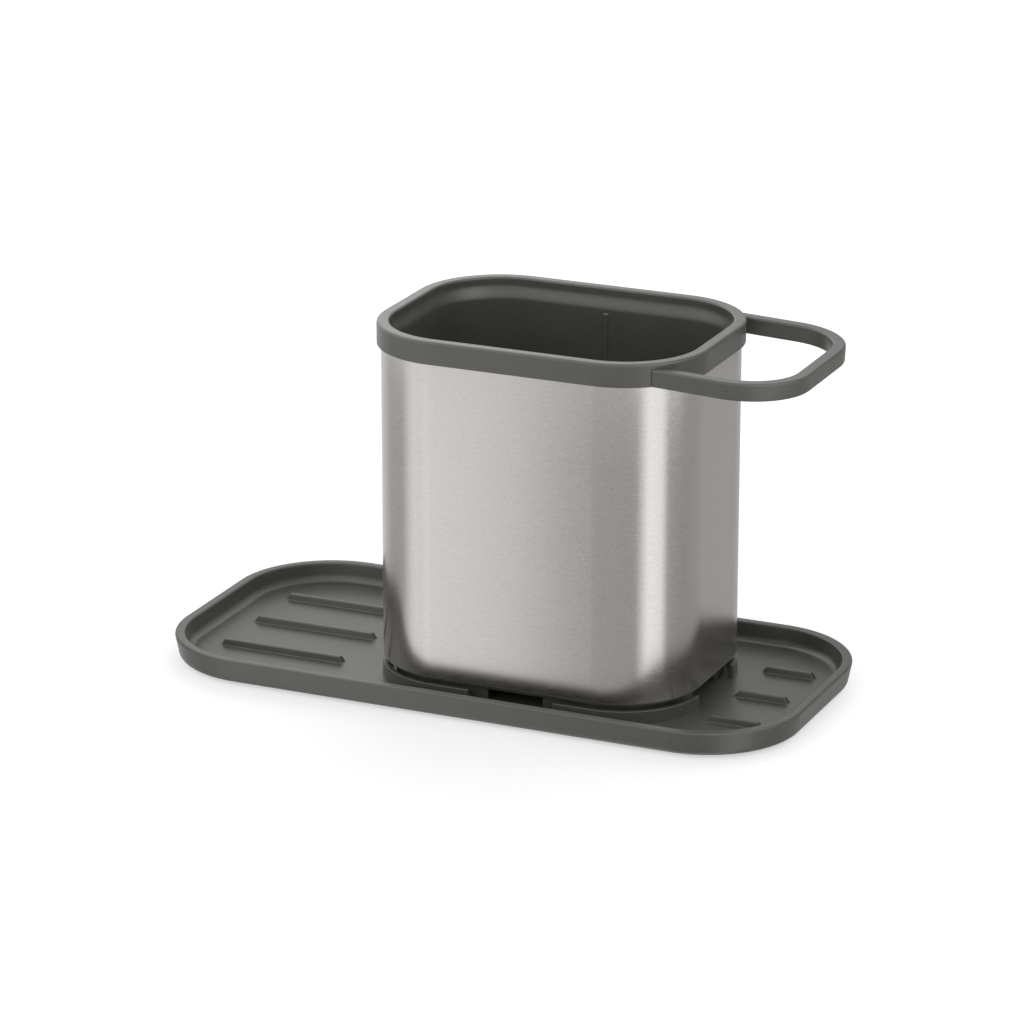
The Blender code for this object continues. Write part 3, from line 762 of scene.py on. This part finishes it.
def make_sleeve():
    """The steel sheet round the bucket, its lower edge turned in as a flange."""
    outside = BAND_PROUD
    flange = outside + SLEEVE_FLANGE
    top = SLEEVE_TOP - CLEARANCE
    centre = SLEEVE_BOTTOM + SLEEVE_BEND
    profile = [(outside, top)]
    profile += arc(outside + SLEEVE_BEND, centre, SLEEVE_BEND, 2, 3, BEND_STEPS)
    profile += [(flange, SLEEVE_BOTTOM), (flange, SLEEVE_BOTTOM + SHEET)]
    profile += arc(outside + SLEEVE_BEND, centre, SLEEVE_BEND - SHEET, 3, 2, BEND_STEPS)
    profile.append((outside + SHEET, top))
    sleeve = as_object("sleeve_sheet", sweep(POT, profile, POT_X))
    smooth(sleeve, SHEET_SHARP_ANGLE)
    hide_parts("steel_sleeve")
    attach(sleeve, "pot")
    return sleeve


def base_profile():
    """The section of the base ring: its plate, and the skirt that stands on the tray."""
    plate = BASE_PLATE_INSET
    inner = SKIRT_INSET + SKIRT_WALL
    foot = POT_BOTTOM + SKIRT_EDGE
    points = [(plate, PLATE_TOP), (plate, PLATE_BOTTOM + BASE_CHAMFER)]
    points += [(plate + BASE_CHAMFER, PLATE_BOTTOM), (SKIRT_INSET, PLATE_BOTTOM)]
    points += arc(SKIRT_INSET + SKIRT_EDGE, foot, SKIRT_EDGE, 2, 3, EDGE_STEPS)
    points += arc(inner - SKIRT_EDGE, foot, SKIRT_EDGE, -1, 0, EDGE_STEPS)
    points += [(inner, PLATE_BOTTOM), (BASE_WINDOW, PLATE_BOTTOM), (BASE_WINDOW, PLATE_TOP)]
    return points


def make_base():
    """The base ring, with sockets for the spigots and a drain notch in each side of its skirt."""
    base = as_object("base_moulding", sweep(POT, base_profile(), POT_X))
    bosses = bmesh.new()
    bores = bmesh.new()
    bore = SPIGOT_RADIUS + CLEARANCE
    bottom = BUCKET_UNDERSIDE - SPIGOT_LENGTH
    for x, y in spigot_places():
        add_cylinder(bosses, bore + SOCKET_WALL, x, y, bottom, PLATE_BOTTOM + BASE_PLATE / 2)
        add_cylinder(bores, bore, x, y, bottom - OVERRUN, PLATE_TOP + OVERRUN)
    combine(base, [as_object("bosses", bosses)], "UNION")
    notches = cross("notch", NOTCH_WIDTH, POT_BOTTOM - OVERRUN, POT_BOTTOM + NOTCH_HEIGHT)
    combine(base, [as_object("bores", bores)] + notches, "DIFFERENCE")
    smooth(base)
    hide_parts("base_ring")
    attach(base, "pot")
    return base


# Node tools


def feed(tree, socket, value):
    """Links another node's output to the socket, or sets the socket to a plain value."""
    if isinstance(value, bpy.types.NodeSocket):
        tree.links.new(value, socket)
    else:
        socket.default_value = value


def calculate(tree, operation, *values):
    """The result of a math node on numbers or other nodes' outputs."""
    node = tree.nodes.new("ShaderNodeMath")
    node.operation = operation
    for socket, value in zip(node.inputs, values):
        feed(tree, socket, value)
    return node.outputs["Value"]


def spread(tree, value, start, end, low, high, shape="LINEAR"):
    """The value's range from start to end, spread from low to high."""
    node = tree.nodes.new("ShaderNodeMapRange")
    node.interpolation_type = shape
    given = {"Value": value, "From Min": start, "From Max": end, "To Min": low, "To Max": high}
    for name, setting in given.items():
        feed(tree, node.inputs[name], setting)
    return node.outputs["Result"]


def mix_colours(tree, factor, first, second):
    node = tree.nodes.new("ShaderNodeMix")
    node.data_type = "RGBA"
    for name, setting in (("Factor", factor), ("A", first), ("B", second)):
        feed(tree, node.inputs[name], setting)
    return node.outputs["Result"]


# Materials


class Looks:
    """A material's node tree, with short calls to add and join nodes."""

    def __init__(self, name):
        self.material = bpy.data.materials.new(name)
        self.material.use_nodes = True
        self.tree = self.material.node_tree
        self.shader = self.tree.nodes["Principled BSDF"]
        self.place = self.tree.nodes.new("ShaderNodeTexCoord").outputs["Object"]

    def set(self, **values):
        """Sets or links the shader's own sockets, named with _ for each space."""
        for name, value in values.items():
            feed(self.tree, self.shader.inputs[name.replace("_", " ")], value)

    def stretched(self, source, scale):
        node = self.tree.nodes.new("ShaderNodeMapping")
        feed(self.tree, node.inputs["Vector"], source)
        feed(self.tree, node.inputs["Scale"], scale)
        return node.outputs["Vector"]

    def noise(self, source, scale=1.0, detail=2.0, roughness=0.5):
        node = self.tree.nodes.new("ShaderNodeTexNoise")
        given = {"Vector": source, "Scale": scale, "Detail": detail, "Roughness": roughness}
        for name, setting in given.items():
            feed(self.tree, node.inputs[name], setting)
        return node.outputs["Fac"]

    def spread(self, noise, low, high, start=0.3, end=0.7):
        """The usual range of a noise, or the one from start to end, spread from low to high."""
        return spread(self.tree, noise, start, end, low, high)

    def total(self, first, second, weight):
        """The first plus the second times the weight."""
        return calculate(self.tree, "MULTIPLY_ADD", second, weight, first)

    def blend(self, factor, first, second):
        return mix_colours(self.tree, factor, (*first, 1.0), (*second, 1.0))

    def bump(self, height, distance):
        node = self.tree.nodes.new("ShaderNodeBump")
        given = {"Height": height, "Distance": distance, "Strength": 1.0}
        for name, setting in given.items():
            feed(self.tree, node.inputs[name], setting)
        self.set(Normal=node.outputs["Normal"])


def satin_plastic():
    """Satin moulded plastic: a fine even texture, and slow changes of gloss and tone."""
    looks = Looks("grey_plastic_satin")
    cloud = looks.noise(looks.place, PLASTIC_CLOUD_SCALE, detail=3.0)
    grain = looks.noise(looks.place, PLASTIC_GRAIN_SCALE, roughness=0.6)
    darker = [c * (1 - PLASTIC_TONE_SPREAD) for c in PLASTIC_COLOUR]
    lighter = [c * (1 + PLASTIC_TONE_SPREAD) for c in PLASTIC_COLOUR]
    glossy = PLASTIC_ROUGHNESS - PLASTIC_GLOSS_SPREAD
    dull = PLASTIC_ROUGHNESS + PLASTIC_GLOSS_SPREAD
    clouds = looks.spread(cloud, *PLASTIC_CLOUD_IN_TONE)
    tone = looks.total(clouds, looks.spread(grain, *ABOUT_ZERO), PLASTIC_GRAIN_IN_TONE)
    clouds = looks.spread(cloud, glossy, dull)
    gloss = looks.total(clouds, looks.spread(grain, *ABOUT_ZERO), PLASTIC_GRAIN_IN_GLOSS)
    looks.set(Base_Color=looks.blend(tone, darker, lighter), Roughness=gloss)
    looks.set(Specular_IOR_Level=PLASTIC_SPECULAR)
    looks.bump(grain, PLASTIC_GRAIN_RELIEF)
    return looks.material


def brushed_steel():
    """Sheet brushed along the pot's girth: long fine scratches, and a highlight drawn out across them."""
    looks = Looks("brushed_steel_sheet")
    girth = looks.tree.nodes.new("ShaderNodeUVMap")
    girth.uv_map = "girth"
    place = girth.outputs["UV"]
    fine = looks.noise(looks.stretched(place, STEEL_FINE_SCALE), roughness=0.65)
    streaks = looks.noise(looks.stretched(place, STEEL_STREAK_SCALE), roughness=0.6)
    cloud = looks.noise(looks.stretched(place, STEEL_CLOUD_SCALE))
    scratches = looks.total(fine, streaks, STEEL_STREAK_WEIGHT)
    worn = looks.spread(cloud, *ABOUT_ZERO)
    lines = looks.spread(scratches, *STEEL_SCRATCH_IN_TONE, *STEEL_SCRATCH_RANGE)
    tone = looks.total(lines, worn, STEEL_WEAR_IN_TONE)
    lines = looks.spread(scratches, *STEEL_ROUGHNESS, *STEEL_SCRATCH_RANGE)
    gloss = looks.total(lines, worn, STEEL_WEAR_IN_GLOSS)
    looks.set(Base_Color=looks.blend(tone, STEEL_DARK, STEEL_LIGHT), Roughness=gloss)
    looks.set(Metallic=1.0, Anisotropic=STEEL_ANISOTROPY, Anisotropic_Rotation=STEEL_QUARTER_TURN)
    tangent = looks.tree.nodes.new("ShaderNodeTangent")
    tangent.direction_type = "UV_MAP"
    tangent.uv_map = "girth"
    looks.set(Tangent=tangent.outputs["Tangent"])
    looks.bump(scratches, STEEL_SCRATCH_RELIEF)
    return looks.material


def rubber():
    looks = Looks("soft_rubber_matte")
    grain = looks.noise(looks.place, RUBBER_GRAIN_SCALE)
    looks.set(Base_Color=looks.blend(grain, RUBBER_DARK, RUBBER_LIGHT))
    looks.set(Roughness=looks.spread(grain, *RUBBER_ROUGHNESS))
    looks.bump(grain, RUBBER_GRAIN_RELIEF)
    return looks.material


# Stage


def shown_factor(tree):
    """1 for what the camera sees directly or in metal and glass, 0 for other light."""
    path = tree.nodes.new("ShaderNodeLightPath").outputs
    shown = path["Is Camera Ray"]
    for name in ("Is Glossy Ray", "Is Transmission Ray"):
        shown = calculate(tree, "MAXIMUM", shown, path[name])
    return shown


def empty_material(name):
    """A material without shaders, with its tree and the socket for its surface."""
    made = bpy.data.materials.new(name)
    made.use_nodes = True
    tree = made.node_tree
    tree.nodes.clear()
    return made, tree, tree.nodes.new("ShaderNodeOutputMaterial").inputs["Surface"]


def floor_material():
    """Pale and matt, and raised to white where it shows, so that it keeps its shadows."""
    made, tree, surface = empty_material("pale_floor")
    matte = tree.nodes.new("ShaderNodeBsdfDiffuse")
    feed(tree, matte.inputs["Color"], (*FLOOR_COLOUR, 1.0))
    glow = tree.nodes.new("ShaderNodeEmission")
    feed(tree, glow.inputs["Strength"], calculate(tree, "MULTIPLY", shown_factor(tree), FLOOR_GLOW))
    both = tree.nodes.new("ShaderNodeAddShader")
    tree.links.new(matte.outputs["BSDF"], both.inputs[0])
    tree.links.new(glow.outputs["Emission"], both.inputs[1])
    tree.links.new(both.outputs["Shader"], surface)
    return made


def make_floor():
    mesh = bmesh.new()
    sides = ((-1, -1), (1, -1), (1, 1), (-1, 1))
    mesh.faces.new([mesh.verts.new((x * FLOOR_REACH, y * FLOOR_REACH, 0)) for x, y in sides])
    floor = as_object("floor", mesh)
    floor.data.materials.append(floor_material())
    floor.visible_glossy = False


def toward(azimuth, elevation):
    """The direction at an azimuth from the front and an elevation, both in degrees."""
    turn = math.radians(azimuth)
    rise = math.radians(elevation)
    return Vector((math.sin(turn) * math.cos(rise), -math.cos(turn) * math.cos(rise), math.sin(rise)))


def make_world():
    """White where it shows, and the sum of the sky's parts where it lights matt surfaces."""
    world = bpy.data.worlds.new("studio")
    bpy.context.scene.world = world
    world.use_nodes = True
    tree = world.node_tree
    background = tree.nodes["Background"]
    background.inputs["Color"].default_value = (1.0, 1.0, 1.0, 1.0)
    direction = tree.nodes.new("ShaderNodeTexCoord").outputs["Generated"]
    light = 0.0
    for azimuth, elevation, edge, level in SKY:
        along = tree.nodes.new("ShaderNodeVectorMath")
        along.operation = "DOT_PRODUCT"
        feed(tree, along.inputs[0], direction)
        feed(tree, along.inputs[1], toward(azimuth, elevation))
        part = spread(tree, along.outputs["Value"], edge, 1.0, 0.0, level, "SMOOTHSTEP")
        light = calculate(tree, "ADD", light, part)
    feed(tree, background.inputs["Strength"], spread(tree, shown_factor(tree), 0.0, 1.0, light, 1.0))


def field_colours(tree, turn, stops):
    """A ramp round the compass, through stops of azimuth in degrees and level."""
    node = tree.nodes.new("ShaderNodeValToRGB")
    ramp = node.color_ramp.elements
    for degrees, _ in stops[1:-1]:
        ramp.new((degrees + 180) / 360)
    for field, (_, level) in zip(ramp, stops):
        field.color = (level / SURROUND_PEAK,) * 3 + (1.0,)
    feed(tree, node.inputs["Fac"], turn)
    return node.outputs["Color"]


def surround_material():
    """Bright and dark fields by azimuth and height, for light that has met no matt surface yet."""
    made, tree, surface = empty_material("surround_fields")
    made.cycles.emission_sampling = "NONE"
    parts = tree.nodes.new("ShaderNodeSeparateXYZ")
    feed(tree, parts.inputs["Vector"], tree.nodes.new("ShaderNodeTexCoord").outputs["Object"])
    ahead = calculate(tree, "MULTIPLY", parts.outputs["Y"], -1.0)
    azimuth = calculate(tree, "ARCTAN2", parts.outputs["X"], ahead)
    turn = spread(tree, azimuth, -math.pi, math.pi, 0.0, 1.0)
    above = spread(tree, parts.outputs["Z"], *SURROUND_TURN, 0.0, 1.0)
    low = field_colours(tree, turn, SURROUND)
    high = field_colours(tree, turn, SURROUND_ABOVE)
    full = SURROUND_PEAK * SURROUND_GAIN
    strength = spread(tree, parts.outputs["Z"], *SURROUND_RISE, SURROUND_PEAK, full)
    matt_surfaces = tree.nodes.new("ShaderNodeLightPath").outputs["Diffuse Depth"]
    gate = calculate(tree, "LESS_THAN", matt_surfaces, MATT_LIMIT)
    glow = tree.nodes.new("ShaderNodeEmission")
    feed(tree, glow.inputs["Color"], mix_colours(tree, above, low, high))
    feed(tree, glow.inputs["Strength"], calculate(tree, "MULTIPLY", strength, gate))
    tree.links.new(glow.outputs["Emission"], surface)
    return made


def make_surround():
    """A round studio wall, for gloss and metal alone, never for matt light."""
    places = circle(SURROUND_RADIUS, 0.0, 0.0, SURROUND_STEPS)
    mesh = bmesh.new()
    rows = []
    for z in (-SURROUND_REACH, SURROUND_REACH):
        rows.append([mesh.verts.new((x, y, z)) for x, y in places])
    bridge(mesh, rows)
    wall = as_object("surround", mesh)
    wall.location.x = POT_X
    wall.data.materials.append(surround_material())
    wall.visible_camera = False
    wall.visible_diffuse = False
    wall.visible_shadow = False
    wall.visible_transmission = False


def make_camera():
    data = bpy.data.cameras.new("camera")
    camera = bpy.data.objects.new("camera", data)
    bpy.context.scene.collection.objects.link(camera)
    back = toward(CAMERA_AZIMUTH, CAMERA_ELEVATION)
    camera.location = Vector(CAMERA_LOOK_AT) + back * CAMERA_DISTANCE
    camera.rotation_euler = (-back).to_track_quat("-Z", "Y").to_euler()
    data.sensor_width = CAMERA_SENSOR
    data.lens = CAMERA_LENS
    data.clip_start, data.clip_end = CAMERA_CLIP
    bpy.context.scene.camera = camera


def main():
    make_camera()
    bpy.context.scene.view_settings.view_transform = "Standard"
    tray = make_tray()
    feet = make_feet()
    bucket = make_bucket()
    sleeve = make_sleeve()
    base = make_base()
    grey = satin_plastic()
    for piece in (tray, bucket, base):
        piece.data.materials.clear()
        piece.data.materials.append(grey)
    sleeve.data.materials.append(brushed_steel())
    soft = rubber()
    for foot in feet:
        foot.data.materials.append(soft)
    make_floor()
    make_world()
    make_surround()


main()
